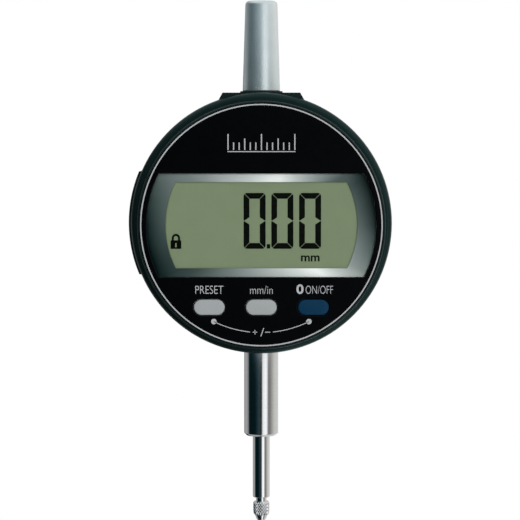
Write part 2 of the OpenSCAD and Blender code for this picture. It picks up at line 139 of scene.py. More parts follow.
# %% A small helper for node trees
def node(tree, kind, inputs=None, **settings):
    """Adds a node, sets its properties, and fills each input with a value or a link."""
    made = tree.nodes.new(kind)
    for key, value in settings.items():
        setattr(made, key, value)
    for key, value in (inputs or {}).items():
        if isinstance(value, bpy.types.NodeSocket):
            tree.links.new(value, made.inputs[key])
        else:
            made.inputs[key].default_value = value
    return made


def ramp(tree, factor, stops):
    """A colour ramp through stops of (position, grey or colour)."""
    made = node(tree, "ShaderNodeValToRGB", {"Fac": factor})
    elements = made.color_ramp.elements
    while len(elements) < len(stops):
        elements.new(0.5)
    for element, (position, value) in zip(elements, stops):
        element.position = position
        element.color = (value, value, value, 1) if np.isscalar(value) else (*value, 1)
    return made.outputs["Color"]


def math_node(tree, operation, *values):
    """The result of one sum, product or other operation on numbers or links."""
    return node(tree, "ShaderNodeMath", dict(enumerate(values)), operation=operation).outputs[0]


def mix_colours(tree, share, first, second, blend="MIX"):
    """The first colour where the share is 0, the second or their product where it is 1."""
    made = node(tree, "ShaderNodeMix", {"Factor": share}, data_type="RGBA", blend_type=blend)
    sockets = [s for s in made.inputs if s.type == "RGBA"]
    for socket, value in zip(sockets, (first, second)):
        if isinstance(value, bpy.types.NodeSocket):
            tree.links.new(value, socket)
        else:
            socket.default_value = value
    return next(s for s in made.outputs if s.type == "RGBA")


print("node helpers ready")

# %% The room
dark = (0.002, 0.011, 0.013)
low_walls = [(-180, 0.5), (-174, 0.25), (-170, dark), (-152, dark), (-146, 0.5), (-125, 0.5), (-103, 0.36),
             (-90, dark), (-42, dark), (-28, (0.012, 0.035, 0.040)), (-12, (0.040, 0.066, 0.074)),
             (-3, (0.008, 0.016, 0.019)), (4, 0.08), (9, 1.15), (32, 1.4), (39, 1.1),
             (46, (0.26, 0.27, 0.27)), (60, (0.26, 0.25, 0.24)), (78, (0.51, 0.5, 0.47)),
             (98, (0.77, 0.75, 0.7)), (118, 0.8), (150, 0.8), (160, 1.1), (170, 1.1), (180, 0.5)]
high_walls = [(-180, 0.5), (-150, 0.45), (-120, (0.22, 0.25, 0.26)), (-97, (0.06, 0.10, 0.11)),
              (-77, (0.02, 0.06, 0.075)), (-60, (0.04, 0.09, 0.11)), (-44, (0.1, 0.165, 0.2)),
              (-29, (0.2, 0.27, 0.3)), (-14, (0.36, 0.42, 0.44)), (0, (0.58, 0.62, 0.63)), (14, 0.88),
              (29, 1.08), (44, 0.98), (60, (0.94, 0.90, 0.88)), (97, (1.0, 0.94, 0.90)),
              (130, (1.1, 1.0, 0.96)), (180, 0.5)]
world = bpy.data.worlds.new("studio")
bpy.context.scene.world = world
world.use_nodes = True
room = world.node_tree
room.nodes.clear()
direction = node(room, "ShaderNodeTexCoord").outputs["Generated"]
axes = node(room, "ShaderNodeSeparateXYZ", {0: direction}).outputs
compass = math_node(room, "ARCTAN2", axes["X"], math_node(room, "MULTIPLY", axes["Y"], -1.0))
turn = math_node(room, "MULTIPLY_ADD", compass, 1 / (2 * math.pi), 0.5)
bands = [ramp(room, turn, [((a + 180) / 360, v) for a, v in stops]) for stops in (low_walls, high_walls)]
upper = ramp(room, math_node(room, "MULTIPLY_ADD", axes["Z"], 0.5, 0.5), [(0.515, 0.0), (0.535, 1.0)])
ceiling = ramp(room, axes["Z"], [(0.5, 0.0), (0.72, 1.0)])
walls = mix_colours(room, upper, bands[0], bands[1])
lit = mix_colours(room, ceiling, walls, (0.9, 0.92, 0.93, 1))
surroundings = node(room, "ShaderNodeBackground", {"Color": lit})
white = node(room, "ShaderNodeBackground", {"Color": (1, 1, 1, 1)})
seen = node(room, "ShaderNodeLightPath").outputs["Is Camera Ray"]
shown = node(room, "ShaderNodeMixShader", {0: seen, 1: surroundings.outputs[0], 2: white.outputs[0]})
node(room, "ShaderNodeOutputWorld", {"Surface": shown.outputs[0]})
bpy.context.scene.view_settings.view_transform = "Standard"
print("room painted with", len(low_walls), "low and", len(high_walls), "high stops")


# %% Soft boxes
def soft_box(name, at, side, power):
    """A square area lamp at a place in millimetres that looks at the dial's centre."""
    lamp = bpy.data.lights.new(name, "AREA")
    lamp.shape, lamp.size, lamp.energy = "SQUARE", side * MM, power
    made = bpy.data.objects.new(name, lamp)
    made.location = np.array(at) * MM
    look = Vector((0, 0, dial_z)) - Vector(at)
    made.rotation_euler = look.to_track_quat("-Z", "Y").to_euler()
    made.visible_glossy = False
    bpy.context.scene.collection.objects.link(made)


soft_box("key_light", (220, -640, 240), 260, 3.8)
soft_box("fill_light", (-300, -600, 160), 260, 1.5)
soft_box("back_light", (60, 500, 350), 300, 1.5)
print(len(bpy.data.lights), "soft boxes")

# %% [markdown]
# ## Floor
#
# The indicator is shown on white, as in a catalogue. A glowing white disc under it disappears into
# the background and throws light up into the metal. Mirrors can't see it.

# %% The white table
floor_r = 420.0
floor_z = cad_box[0][2] / MM
corners = np.linspace(0, 2 * math.pi, 97)[:-1]
floor_points = np.stack([floor_r * np.cos(corners), floor_r * np.sin(corners), 0 * corners + floor_z], 1)
floor_mesh = bpy.data.meshes.new("floor")
floor_mesh.from_pydata(floor_points * MM, [], [list(range(len(corners)))])
floor = bpy.data.objects.new("floor", floor_mesh)
bpy.context.scene.collection.objects.link(floor)
floor.visible_glossy = False
pale = bpy.data.materials.new("pale_table")
pale.use_nodes = True
pale.node_tree.nodes.clear()
glow = node(pale.node_tree, "ShaderNodeEmission", {"Color": (1, 1, 1, 1)})
node(pale.node_tree, "ShaderNodeOutputMaterial", {"Surface": glow.outputs[0]})
floor_mesh.materials.append(pale)
print(f"floor at {floor_z:.2f} mm")

# %% [markdown]
# ## Surfaces from formulas
#
# Most of this tool was turned on a lathe, so most pieces are a profile carried round an axis.
# Blender's Screw modifier could spin it. Working the points out as one array gives the same surface
# and also lets the radius change on the way round, which the knurl needs.


# %% Meshes from grids of points
def make_piece(name, points, faces, sharp=35.0):
    """A mesh object from points in millimetres."""
    mesh = bpy.data.meshes.new(name)
    mesh.from_pydata(np.asarray(points, float).reshape(-1, 3) * MM, [], np.asarray(faces).tolist())
    return clean_piece(name, mesh, sharp)


def clean_piece(name, mesh, sharp=35.0):
    """Merges doubled points, which closes seams and poles, turns the normals outwards, and shades
    smoothly except across edges steeper than sharp degrees and on faces square to the y axis."""
    work = bmesh.new()
    work.from_mesh(mesh)
    bmesh.ops.remove_doubles(work, verts=work.verts, dist=2e-7)
    bmesh.ops.dissolve_degenerate(work, edges=work.edges, dist=1e-7)
    bmesh.ops.recalc_face_normals(work, faces=work.faces)
    work.to_mesh(mesh)
    work.free()
    mesh.set_sharp_from_angle(angle=math.radians(sharp))
    normals = np.empty(len(mesh.polygons) * 3)
    mesh.polygons.foreach_get("normal", normals)
    mesh.polygons.foreach_set("use_smooth", np.abs(normals[1::3]) < 0.9999)
    made = bpy.data.objects.new(name, mesh)
    bpy.context.scene.collection.objects.link(made)
    return made


def grid_faces(rows, columns, wrap_rows=True):
    """Quads between each grid point and its next neighbours, going round again where the grid wraps."""
    i, j = np.meshgrid(np.arange(rows - (not wrap_rows)), np.arange(columns), indexing="ij")
    up, right = (i + 1) % rows, (j + 1) % columns
    quads = [i * columns + j, i * columns + right, up * columns + right, up * columns + j]
    return np.stack(quads, -1).reshape(-1, 4)


def fillet(corners, radii, steps=5):
    """Rounds the corners of a closed outline. Each arc starts radius / tan(half the corner's angle)
    before its corner, ends as far after it, and turns evenly about its centre in between."""
    corners = np.asarray(corners, float)
    rounded = []
    for k, radius in enumerate(np.broadcast_to(radii, len(corners))):
        here = corners[k]
        if radius == 0:
            rounded.append(here[None])
            continue
        to_last, to_next = corners[k - 1] - here, corners[(k + 1) % len(corners)] - here
        to_last, to_next = to_last / np.linalg.norm(to_last), to_next / np.linalg.norm(to_next)
        half = math.acos(np.clip(to_last @ to_next, -1, 1)) / 2
        middle = to_last + to_next
        centre = here + middle / np.linalg.norm(middle) * radius / math.sin(half)
        start = here + to_last * radius / math.tan(half) - centre
        end = here + to_next * radius / math.tan(half) - centre
        angle = math.atan2(start[0] * end[1] - start[1] * end[0], start @ end)
        turns = np.linspace(0, angle, steps + 1)[:, None]
        across = np.array([-start[1], start[0]])
        rounded.append(centre + np.cos(turns) * start + np.sin(turns) * across)
    return np.vstack(rounded)


def turned(name, profile, about="spindle", steps=160):
    """A profile of (radius, distance along the axis) carried once round the spindle or the dial's axis."""
    profile = np.asarray(profile, float)
    angle = np.linspace(0, 2 * math.pi, steps + 1)[:-1][None, :]
    radius, along = profile[:, :1], profile[:, 1:] + 0 * angle
    x, side = radius * np.cos(angle), radius * np.sin(angle)
    grid = [x, side, along] if about == "spindle" else [x, along, side + dial_z]
    return make_piece(name, np.stack(grid, -1), grid_faces(len(profile), steps))


def place(piece, body, replaces, material):
    """Gives a piece its material and its body, and hides the CAD nodes it stands for."""
    piece.data.materials.clear()
    piece.data.materials.append(material)
    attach(piece, body)
    if replaces:
        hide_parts(*replaces)
    return piece


print("3 by 4 points that go round both ways make", len(grid_faces(3, 4)), "quads")

# %% [markdown]
# ## Finishes
#
# A real surface is never one flat colour. Plastic has moulding grain, and ground steel has fine
# lines round the bar. Image textures could hold that, but a pattern worked out by nodes stays sharp
# at any distance. The helper gives each finish a colour and a roughness that drift a little and a
# fine relief, all read from the object's own coordinates in millimetres.


# %% The helper for finishes
def in_millimetres(tree, stretch=(1, 1, 1)):
    """Object coordinates in millimetres, stretched where a grain runs one way."""
    local = node(tree, "ShaderNodeTexCoord").outputs["Object"]
    scale = [s / MM for s in stretch]
    return node(tree, "ShaderNodeMapping", {"Vector": local, "Scale": scale}).outputs[0]


def between(tree, factor, low, high):
    """A number that runs from low to high as the factor runs from 0 to 1."""
    return math_node(tree, "MULTIPLY_ADD", factor, high - low, low)


def finish(name, colour, roughness, metallic=0.0, grain=3.0, relief=0.004, drift=0.12, rough_drift=0.08,
           stretch=(1, 1, 1), specular=0.5, specular_tint=(1, 1, 1), colour_link=None):
    """A principled finish. grain is speckles in a millimetre, relief is their height in millimetres,
    and drift is how much the colour wanders over a few millimetres."""
    made = bpy.data.materials.new(name)
    made.use_nodes = True
    tree = made.node_tree
    shader = tree.nodes["Principled BSDF"]
    where = in_millimetres(tree, stretch)
    fine = node(tree, "ShaderNodeTexNoise", {"Vector": where, "Scale": grain, "Detail": 4.0})
    broad = node(tree, "ShaderNodeTexNoise", {"Vector": where, "Scale": 0.22, "Detail": 2.0})
    if colour_link is None:
        dark = tuple(c * (1 - drift) for c in colour)
        light = tuple(min(1.0, c * (1 + drift)) for c in colour)
        blend = math_node(tree, "MULTIPLY_ADD", fine.outputs["Fac"], 0.5,
                          math_node(tree, "MULTIPLY", broad.outputs["Fac"], 0.5))
        tree.links.new(ramp(tree, blend, [(0.3, dark), (0.7, light)]), shader.inputs["Base Color"])
    else:
        tree.links.new(colour_link(tree), shader.inputs["Base Color"])
    rough = between(tree, fine.outputs["Fac"], roughness - rough_drift, roughness + rough_drift)
    tree.links.new(rough, shader.inputs["Roughness"])
    shader.inputs["Metallic"].default_value = metallic
    shader.inputs["Specular IOR Level"].default_value = specular
    shader.inputs["Specular Tint"].default_value = (*specular_tint, 1)
    bump = node(tree, "ShaderNodeBump", {"Height": fine.outputs["Fac"], "Strength": 1.0,
                                         "Distance": relief * MM})
    tree.links.new(bump.outputs[0], shader.inputs["Normal"])
    return made


print("the finish helper is ready")

# %% The plain finishes
case_plastic = finish("case_plastic", (0.0028, 0.0042, 0.0042), 0.33, grain=5.0, relief=0.006, drift=0.2,
                      specular=0.3, specular_tint=(0.35, 1.0, 0.95))
finish("dark_plastic", (0.030, 0.032, 0.035), 0.45, grain=5.0, relief=0.006)
pale_plastic = finish("pale_plastic", (0.62, 0.59, 0.48), 0.4)
black_rubber = finish("black_rubber", (0.003, 0.006, 0.006), 0.6, grain=4.0, relief=0.01, specular=0.25,
                      specular_tint=(0.3, 1.0, 0.95))
finish("pink_rubber", (0.62, 0.24, 0.28), 0.55, stretch=(10, 1, 1), grain=1.5)
plated_steel = finish("plated_steel", (0.52, 0.53, 0.55), 0.3, metallic=1.0, grain=6.0, relief=0.002)
spring_wire = finish("spring_wire", (0.50, 0.51, 0.52), 0.22, metallic=1.0, grain=8.0, relief=0.002)
finish("bronze", (0.55, 0.33, 0.13), 0.3, metallic=1.0, stretch=(1, 1, 12), grain=1.5)
gold_plate = finish("gold_plate", (0.83, 0.60, 0.24), 0.22, metallic=1.0, grain=4.0, relief=0.002)
nickel = finish("nickel", (0.62, 0.61, 0.58), 0.24, metallic=1.0, grain=7.0, relief=0.002)
chip_epoxy = finish("chip_epoxy", (0.012, 0.012, 0.013), 0.5, grain=6.0, relief=0.01)
amber_film = finish("amber_film", (0.42, 0.15, 0.02), 0.25, stretch=(6, 1, 1), grain=1.0, relief=0.002)
scale_print = finish("scale_print", (0.55, 0.42, 0.18), 0.25, stretch=(0.2, 0.2, 8), grain=1.0)
print("plain finishes ready")

# %% [markdown]
# ## Ground steel stem
#
# The stem is ground to 8 mm so that a clamp holds it true. The room shows in it as dark and bright
# stripes along the bar, slightly blurred by the grinding. The shape is a lathe profile with a
# chamfered foot, and the grinding lines are a noise squeezed along the bar.

# %% Stem
ground_steel = finish("ground_steel", (0.66, 0.67, 0.68), 0.13, metallic=1.0, stretch=(1, 1, 14),
                      grain=1.1, relief=0.0016, drift=0.05, rough_drift=0.05)
stem_shoulder_z = span("housing")[0][2] + 0.3
stem_chamfer = 0.55
stem_neck_r = 3.5
stem_bore_r = span("lower_bush")[1][0]
stem_profile = fillet([(stem_bore_r, stem_low[2]), (stem_r - stem_chamfer, stem_low[2]),
                       (stem_r, stem_low[2] + stem_chamfer), (stem_r, stem_shoulder_z),
                       (stem_neck_r, stem_shoulder_z), (stem_neck_r, stem_high[2]),
                       (stem_bore_r, stem_high[2])],
                      [0.05, 0.15, 0.2, 0.05, 0.05, 0.05, 0.05])
stem = place(turned("ground_stem", stem_profile), "housing", ["stem"], ground_steel)
print("stem", len(stem.data.vertices), "points")

# %% [markdown]
# ## Spindle
#
# The spindle slides on bronze bushes, so it is polished harder than the stem. Each end is chamfered
# round a threaded hole.

# %% Spindle
polished_steel = finish("polished_steel", (0.70, 0.70, 0.71), 0.09, metallic=1.0, stretch=(1, 1, 20),
                        grain=1.0, relief=0.0008, drift=0.04, rough_drift=0.03)
thread_r, thread_depth = 1.25, 5.0
spindle_profile = fillet([(thread_r, spindle_low[2]), (spindle_r, spindle_low[2]),
                          (spindle_r, spindle_high[2]), (thread_r, spindle_high[2]),
                          (thread_r, spindle_high[2] - thread_depth), (0, spindle_high[2] - thread_depth),
                          (0, spindle_low[2] + thread_depth), (thread_r, spindle_low[2] + thread_depth)],
                         [0.1, 0.3, 0.3, 0.1, 0, 0, 0, 0])
place(turned("polished_spindle", spindle_profile, steps=128), "spindle", ["spindle"],
      polished_steel)
print(f"spindle {2 * spindle_r:.1f} mm thick, {spindle_high[2] - spindle_low[2]:.1f} mm long")

# %% [markdown]
# ## Knurled contact point
#
# The contact point is screwed in with the fingers, so its barrel has a diamond knurl: rows of small
# pyramids between crossed grooves. A fine grid of crossed waves leaves ragged grooves, because its
# edges never lie along them. Here the grid is as coarse as the pattern. Peaks and groove crossings
# take turns like the fields of a chess board, and each cell is cut from crossing to crossing, so
# that every groove is one clean edge.

# %% Knurl
ridges, knurl_rows, ridge_height, end_step = 20, 8, 0.24, 0.06
belly_depth, belly_row = 0.14, 4.5
ball_low, ball_high = span("contact_ball")
ball_r = (ball_high[2] - ball_low[2]) / 2
ball_z = (ball_high[2] + ball_low[2]) / 2
point_high = span("contact_point")[1]
barrel_r = point_high[0]
barrel_top, barrel_foot, nose_z = spindle_low[2] - np.array([1.0, 4.2, 5.1])
row, column = np.arange(knurl_rows + 1)[:, None], np.arange(2 * ridges)[None, :]
groove = np.where((row + column) % 2 == 0, 0.0, ridge_height)
groove[[0, -1]] = ridge_height + end_step
belly = belly_depth * np.clip((row - belly_row) / (knurl_rows - belly_row), 0, 1) ** 2
sleeve_ends = np.full((1, 2 * ridges), thread_r)
radius = np.vstack([sleeve_ends, barrel_r - groove - belly, sleeve_ends])
levels = np.linspace(barrel_top, barrel_foot, knurl_rows + 1)[[0, *range(knurl_rows + 1), -1], None]
angle = column * math.pi / ridges
knurl = np.stack([radius * np.cos(angle), radius * np.sin(angle), levels + 0 * angle], -1)
cells = grid_faces(*radius.shape)
peak_first = (cells[:, :1] // (2 * ridges) + cells[:, :1] % (2 * ridges)) % 2 == 1
halves = [np.where(peak_first, cells[:, [0, 1, 3]], cells[:, [0, 1, 2]]),
          np.where(peak_first, cells[:, [1, 2, 3]], cells[:, [0, 2, 3]])]
barrel = make_piece("knurled_barrel", knurl, np.vstack(halves), sharp=20.0)
place(barrel, "spindle", [], polished_steel)
nose_profile = fillet([(0, point_high[2]), (thread_r, point_high[2]), (thread_r, barrel_top),
                       (thread_r, barrel_foot), (barrel_r - ridge_height - 0.22, barrel_foot),
                       (1.15, nose_z), (1.0, nose_z - 0.12), (0, nose_z - 0.12)],
                      [0, 0, 0, 0, 0.08, 0.1, 0, 0])
place(turned("contact_nose", nose_profile, steps=96), "spindle", ["contact_point"],
      polished_steel)
print("knurl", len(barrel.data.polygons), "faces")

# %% [markdown]
# The ball is pressed into the nose. Its profile is a half circle.

# %% Ball
half_circle = np.linspace(-math.pi / 2, math.pi / 2, 33)
ball_profile = np.stack([ball_r * np.cos(half_circle), ball_z + ball_r * np.sin(half_circle)], 1)
ball_profile[[0, -1], 0] = 0
mirror_steel = finish("mirror_steel", (0.78, 0.78, 0.79), 0.06, metallic=1.0, relief=0.0004,
                      drift=0.03, rough_drift=0.02)
place(turned("ball", ball_profile, steps=64), "spindle", ["contact_ball"], mirror_steel)
print(f"ball {2 * ball_r:.2f} mm across")

# %% [markdown]
# ## Cap over the spindle's top
#
# The cap keeps dust off the spindle's upper end. It is a slightly tapered aluminium thimble. It is
# bead blasted, so its highlight is broad and soft. The blasting is a fine noise used as relief.

# %% Cap
cap_foot_r, cap_top_r = cap_high[0], 3.7
seat_r, bore_r = 3.0, 2.5
seat_top, bore_top = cap_low[2] + 6.2, cap_high[2] - 1.6
blasted = finish("blasted_aluminium", (0.60, 0.68, 0.70), 0.34, metallic=0.92, grain=6.5, relief=0.012,
                 drift=0.08, rough_drift=0.06)
cap_profile = fillet([(seat_r, cap_low[2]), (cap_foot_r, cap_low[2]), (cap_top_r, cap_high[2]),
                      (0, cap_high[2]), (0, bore_top), (bore_r, bore_top), (bore_r, seat_top),
                      (seat_r, seat_top)],
                     [0.05, 0.2, 0.95, 0, 0, 0.3, 0, 0], steps=8)
place(turned("tapered_cap", cap_profile), "housing", ["spindle_cap"], blasted)
seal_low, seal_high = span("cap_seal")
seal_in_r = seat_r + 0.05
seal_profile = fillet([(seal_in_r, seal_low[2]), (seal_high[0], seal_low[2]), (seal_high[0], seal_high[2]),
                       (seal_in_r, seal_high[2])], [0.02, 0.1, 0.18, 0.05])
place(turned("cap_collar", seal_profile), "housing", ["cap_seal"], black_rubber)
print(f"cap {2 * cap_foot_r:.1f} mm wide at its foot and {2 * cap_top_r:.1f} mm at its top")

# %% [markdown]
# ## Turning display head
#
# The head is a shallow black cup whose rim stands round the glossy panel. A sharp rim would show as
# one flat band. This one is rounded over most of its width, so it catches a soft light.

# %% Head shell
shell_low, shell_high = span("head_shell")
head_r = shell_high[0]
shell_wall = 1.5
shell_in_r = head_r - shell_wall
rim_round = 0.8 * (head_r - panel_r)
print(f"head radius {head_r:.2f} mm, rim {head_r - panel_r:.2f} mm wide, rounded by {rim_round:.2f} mm")
shell_profile = fillet([(shell_in_r, shell_high[1]), (head_r, shell_high[1]), (head_r, shell_low[1]),
                        (panel_r, shell_low[1]), (panel_r, panel_back_y), (shell_in_r, panel_back_y)],
                       [0.1, 0.3, rim_round, 0.08, 0, 0], steps=8)
place(turned("head_cup", shell_profile, "dial", steps=256), "display", ["head_shell"],
      case_plastic)

# %% [markdown]
# ## Flat pieces with holes
#
# The panel, the window, the mask, the printed marks and the figures are flat, some with holes. A
# grid can't hold a hole easily. A flat curve can: each outline is an array worked out by formula,
# the inner ones become holes, and Blender fills, thickens and rounds the curve. It is then turned
# into a mesh and stood up in the dial's plane.


# %% Outlines and plates
def circle_outline(radius, centre=(0, 0), steps=256):
    """Points at equal angles round a centre."""
    angle = np.linspace(0, 2 * math.pi, steps + 1)[:-1]
    return np.stack([centre[0] + radius * np.cos(angle), centre[1] + radius * np.sin(angle)], 1)


def lens_outline(radius, half_height):
    """A circle cut by two level lines: two arcs, each from minus to plus the angle whose sine is
    half height / radius."""
    reach = math.asin(half_height / radius)
    angle = np.linspace(-reach, reach, 40)
    right = np.stack([radius * np.cos(angle), radius * np.sin(angle)], 1)
    return np.vstack([right, -right])


def stadium_outline(width, height, centre, steps=24):
    """Two half circles joined by straight sides."""
    angle = np.linspace(-math.pi / 2, math.pi / 2, steps)
    end = np.stack([np.cos(angle), np.sin(angle)], 1) * height / 2
    right = end + [(width - height) / 2, 0]
    return np.vstack([right, -right]) + np.array(centre)


def box_outline(centre, width, height):
    """The four corners of an upright box about a centre."""
    corners = np.array([(-0.5, -0.5), (0.5, -0.5), (0.5, 0.5), (-0.5, 0.5)])
    return corners * [width, height] + np.array(centre)


def band_outline(radius, width, start, end):
    """Part of a ring between two angles in degrees: the outer arc, then the inner arc back."""
    angle = np.radians(np.linspace(start, end, 60))
    arc = np.stack([np.cos(angle), np.sin(angle)], 1)
    return np.vstack([arc * (radius + width / 2), arc[::-1] * (radius - width / 2)])


def stand_up(name, source, back_y, front_y):
    """Turns a flat curve or text into a mesh in the dial's plane: its y runs up from the dial's centre,
    and its thickness fills the two levels given."""
    bpy.context.scene.collection.objects.link(source)
    bpy.context.view_layer.update()
    mesh = bpy.data.meshes.new_from_object(source.evaluated_get(bpy.context.evaluated_depsgraph_get()))
    bpy.data.objects.remove(source)
    middle_y = (back_y + front_y) / 2
    stand = Matrix(((1, 0, 0, 0), (0, 0, -1, middle_y), (0, 1, 0, dial_z), (0, 0, 0, 1)))
    mesh.transform(Matrix.Scale(MM, 4) @ stand)
    mesh.materials.clear()
    return clean_piece(name, mesh)


def plate(name, outlines, back_y, front_y, edge=0.0, shrink=0.0):
    """A flat piece with a rounded edge. shrink pulls every outline inwards by that much."""
    curve = bpy.data.curves.new(name, "CURVE")
    curve.dimensions, curve.fill_mode = "2D", "BOTH"
    for outline in outlines:
        spline = curve.splines.new("POLY")
        spline.points.add(len(outline) - 1)
        padded = np.hstack([outline, np.zeros((len(outline), 1)), np.ones((len(outline), 1))])
        spline.points.foreach_set("co", padded.ravel())
        spline.use_cyclic_u = True
    curve.extrude = abs(back_y - front_y) / 2 - edge
    curve.bevel_depth, curve.bevel_resolution, curve.offset = edge, 3, -edge - shrink
    return stand_up(name, bpy.data.objects.new(name, curve), back_y, front_y)


print("a lens of radius 5 cut at 3 mm reaches", lens_outline(5, 3).max(0).round(2), "mm")

# %% [markdown]
# ## Glossy front panel
#
# The panel is one moulding with a window and three key holes. It is polished black and shows almost
# nothing but the dark room. A faint drift in roughness keeps it from looking like a hole.

# %% Panel
window_low, window_high = span("window_lens")
window_r, window_hh = window_high[0], (window_high[2] - window_low[2]) / 2
key_nodes = ["preset_key", "unit_key", "zero_key"]
key_boxes = {name: span(name) for name in key_nodes}
key_flange, key_gap = 1.4, 0.2
key_w, _, key_h = key_boxes["unit_key"][1] - key_boxes["unit_key"][0] - key_flange
key_centres = {name: ((low[0] + high[0]) / 2, (low[2] + high[2]) / 2 - dial_z)
               for name, (low, high) in key_boxes.items()}
gloss_black = finish("gloss_black", (0.0008, 0.0009, 0.0012), 0.07, grain=0.8, relief=0.0, drift=0.2,
                     rough_drift=0.02, specular=0.2)
panel_outlines = [circle_outline(panel_r), lens_outline(window_r, window_hh)]
panel_outlines += [stadium_outline(key_w + key_gap, key_h + key_gap, c) for c in key_centres.values()]
panel = plate("gloss_panel", panel_outlines, panel_back_y, face_y, edge=0.1)
place(panel, "display", ["front_panel"], gloss_black)
print(f"keys {key_w:.2f} by {key_h:.2f} mm at", key_centres)

# %% [markdown]
# ## Window
#
# The window is clear acrylic, flush with the panel. Real refraction adds nothing on a flat sheet
# this close to what it covers, and it would keep the lamps off the readout. So the finish mixes a
# see-through shader with a mirror one, and a Fresnel node says how much of each.

# %% Window
clear = bpy.data.materials.new("clear_acrylic")
clear.use_nodes = True
tree = clear.node_tree
tree.nodes.clear()
smudge = node(tree, "ShaderNodeTexNoise", {"Vector": in_millimetres(tree), "Scale": 0.15, "Detail": 3.0})
smear = between(tree, smudge.outputs["Fac"], 0.0, 0.06)
mirror = node(tree, "ShaderNodeBsdfGlossy", {"Color": (1, 1, 1, 1), "Roughness": smear})
through = node(tree, "ShaderNodeBsdfTransparent", {"Color": (0.97, 0.985, 0.98, 1)})
share = node(tree, "ShaderNodeFresnel", {"IOR": 1.45}).outputs[0]
inside = node(tree, "ShaderNodeNewGeometry").outputs["Backfacing"]
share = math_node(tree, "MULTIPLY", share, math_node(tree, "SUBTRACT", 1.0, inside))
mixed = node(tree, "ShaderNodeMixShader", {0: share, 1: through.outputs[0], 2: mirror.outputs[0]})
node(tree, "ShaderNodeOutputMaterial", {"Surface": mixed.outputs[0]})
window = plate("window", [lens_outline(window_r - 0.03, window_hh - 0.03)], window_high[1],
               window_low[1], edge=0.05)
place(window, "display", ["window_lens"], clear)
print(f"window {2 * window_r:.1f} by {2 * window_hh:.1f} mm")

# %% [markdown]
# ## Silver mask
#
# Behind the window a silver mask frames the readout. Spun metal shows fans of light and dark that
# turn with the angle about its centre. A brushed shader could find them, but they would come and
# go with each lamp. The fan is painted into the colour instead, as painted highlights and painted
# shade, and the mask's own specular gloss is off: the angle about the dial's centre picks a shade
# for the inner edge from one ramp and one for the outer edge from another, the radius runs from the
# one to the other, and fine rings of noise over the radius give the spinning marks.

# %% Mask
readout_r, readout_hh = 21.65, 9.73
# Painted highlight and shade round the mask: angle in degrees, then the inner edge's and the outer edge's
# brightness from 0 to 255.
painted_sheen_stops = [(0, 83, 23), (8, 73, 6), (16, 67, 6), (24, 60, 6), (28, 67, 12), (31, 74, 66),
             (38, 119, 119), (50, 165, 165), (68, 216, 216), (80, 211, 211), (103, 182, 182),
             (131, 150, 150), (146, 112, 112), (152, 100, 90), (158, 89, 69), (166, 77, 48),
             (174, 70, 31), (180, 64, 18), (196, 48, 6), (203, 44, 6), (208, 43, 18), (215, 58, 58),
             (229, 98, 98), (257, 137, 137), (292, 176, 176), (309, 199, 199), (321, 228, 228),
             (329, 178, 178), (336, 134, 118), (344, 115, 86), (352, 100, 58)]


def painted_sheen_colour(tree):
    """Painted highlight and shade by the angle arctan(z / x) about the dial's axis, one for the mask's inner
    edge and one for its outer edge, shared by how far out the radius lies, times fine rings by radius."""
    flat = node(tree, "ShaderNodeMapping", {"Vector": in_millimetres(tree), "Scale": (1, 0, 1),
                                            "Location": (0, 0, -dial_z)}).outputs[0]
    parts = node(tree, "ShaderNodeSeparateXYZ", {0: flat}).outputs
    angle = math_node(tree, "ARCTAN2", parts["Z"], parts["X"])
    turn = math_node(tree, "FRACT", math_node(tree, "MULTIPLY_ADD", angle, 1 / (2 * math.pi), 1.0))
    radius = node(tree, "ShaderNodeVectorMath", {0: flat}, operation="LENGTH").outputs["Value"]
    sheen_fans = [ramp(tree, turn, [(stop[0] / 360, painted_sheen_shade(stop[k])) for stop in painted_sheen_stops]
                 + [(1.0, painted_sheen_shade(painted_sheen_stops[0][k]))]) for k in (1, 2)]
    outwards = ramp(tree, math_node(tree, "MULTIPLY", radius, 1 / window_r),
                    [(readout_r / window_r + 0.01, 0.0), (0.99, 1.0)])
    rings = node(tree, "ShaderNodeTexNoise", {"W": radius, "Scale": 26.0, "Detail": 2.0},
                 noise_dimensions="1D")
    lines = ramp(tree, rings.outputs["Fac"], [(0.3, 0.75), (0.7, 0.81)])
    return mix_colours(tree, 1.0, mix_colours(tree, outwards, *sheen_fans), lines, "MULTIPLY")


def painted_sheen_shade(value):
    """A painted sheen brightness from 0 to 255 as light, with the darker shades a little greener as a
    painted reflection of the dark teal room.
    """
    cool = value + 16 - value / 13
    return linear(value), linear(cool), linear(cool - 1)


def linear(value):
    """A display brightness from 0 to 255 as the amount of light it stands for."""
    share = value / 255
    return share / 12.92 if share <= 0.04045 else ((share + 0.055) / 1.055) ** 2.4


# The mask's colour is the painted highlight and shade of the fan; its own specular is off.
spun_silver = finish("spun_silver", (1, 1, 1), 0.35, grain=2.0, relief=0.0, specular=0.0,
                     colour_link=painted_sheen_colour)
mask_low, mask_high = span("window_frame")
mask = plate("silver_mask", [lens_outline(window_r - 0.02, window_hh - 0.02),
                             lens_outline(readout_r, readout_hh)],
             mask_high[1], mask_low[1] + 0.04, edge=0.06)
place(mask, "display", ["window_frame"], spun_silver)
print(len(painted_sheen_stops), "shades round the mask")

# %% [markdown]
# ## Readout
#
# A liquid-crystal cell is a matt grey-green reflector under glass, with a very fine grain.

